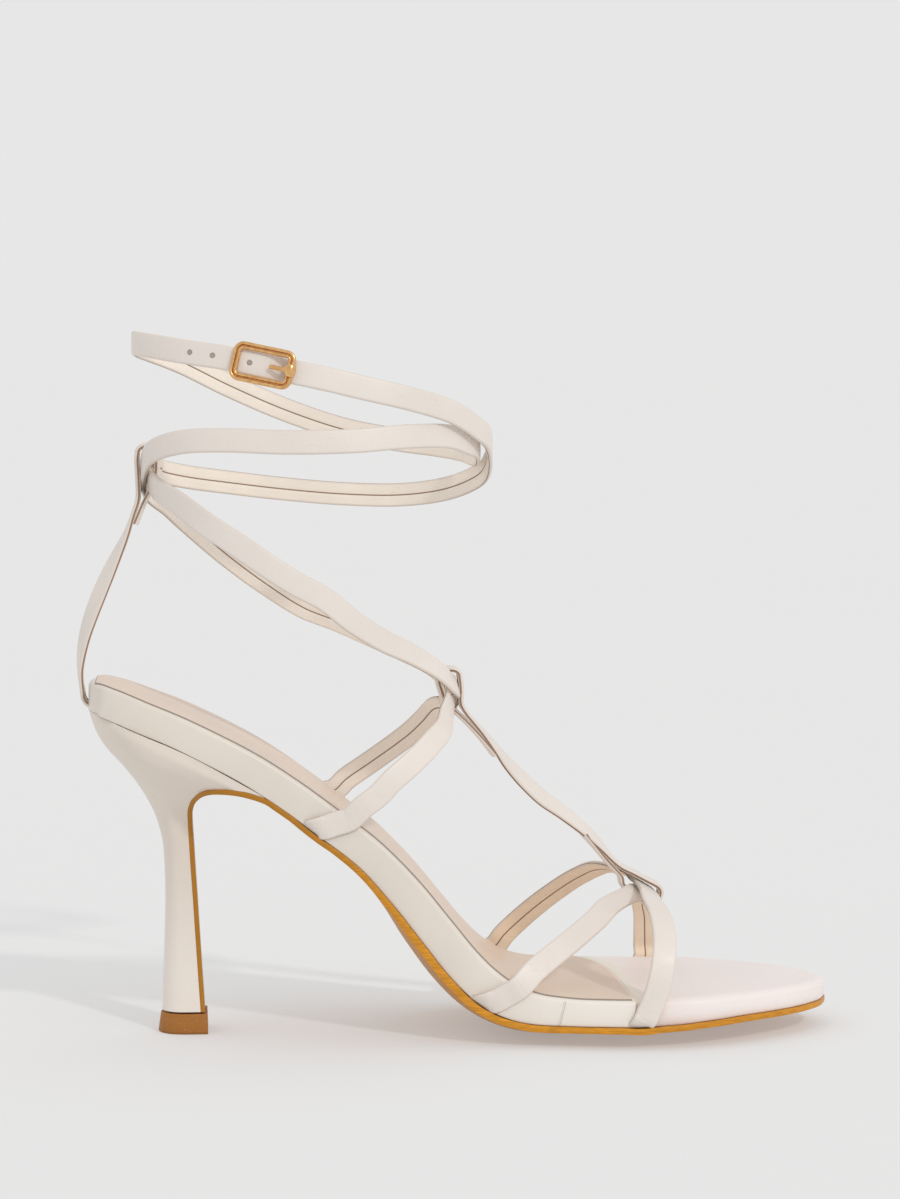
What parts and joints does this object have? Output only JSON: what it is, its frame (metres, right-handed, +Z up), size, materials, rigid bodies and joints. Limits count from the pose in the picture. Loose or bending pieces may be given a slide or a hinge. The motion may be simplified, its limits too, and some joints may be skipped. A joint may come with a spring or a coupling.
{
  "type": "ankle strap sandal",
  "caption": "Right ankle strap sandal on a high heel: thin crossed straps tied round the ankle, a buckle at the outer side, padded toe and slim heel.",
  "frame": {"origin": "on the floor under the ball of the foot, on the flat of the outsole", "axes": "+X toward the toe along the shoe, -Y toward the outer side of the foot, +Z up"},
  "size_m": [0.2236, 0.0792, 0.2075],
  "materials": {
    "cream_leather": "smooth coated leather wrap, softly glossy",
    "pink_leather": "smooth padded leather, softly glossy",
    "nude_leather": "thin smooth lining leather, satin",
    "tan_sole": "golden brown leather sole, polished",
    "cream_heel": "leather stretched over the heel, softly glossy",
    "tip_rubber": "hard brown top piece, satin",
    "cream_strap": "folded leather strap with a tan lining",
    "gold_metal": "polished gold plating"
  },
  "bodies": {
    "root": {"footbed": "cream_leather", "toe_bed": "pink_leather", "sock": "nude_leather", "outsole": "tan_sole", "heel": "cream_heel", "heel_tip": "tip_rubber", "ankle_strap_a": "cream_strap", "ankle_strap_b": "cream_strap", "toe_strap_a": "cream_strap", "toe_strap_b": "cream_strap", "centre_strap": "cream_strap", "heel_strap": "cream_strap", "buckle_frame": "gold_metal", "buckle_prong": "gold_metal"}
  },
  "joints": []
}
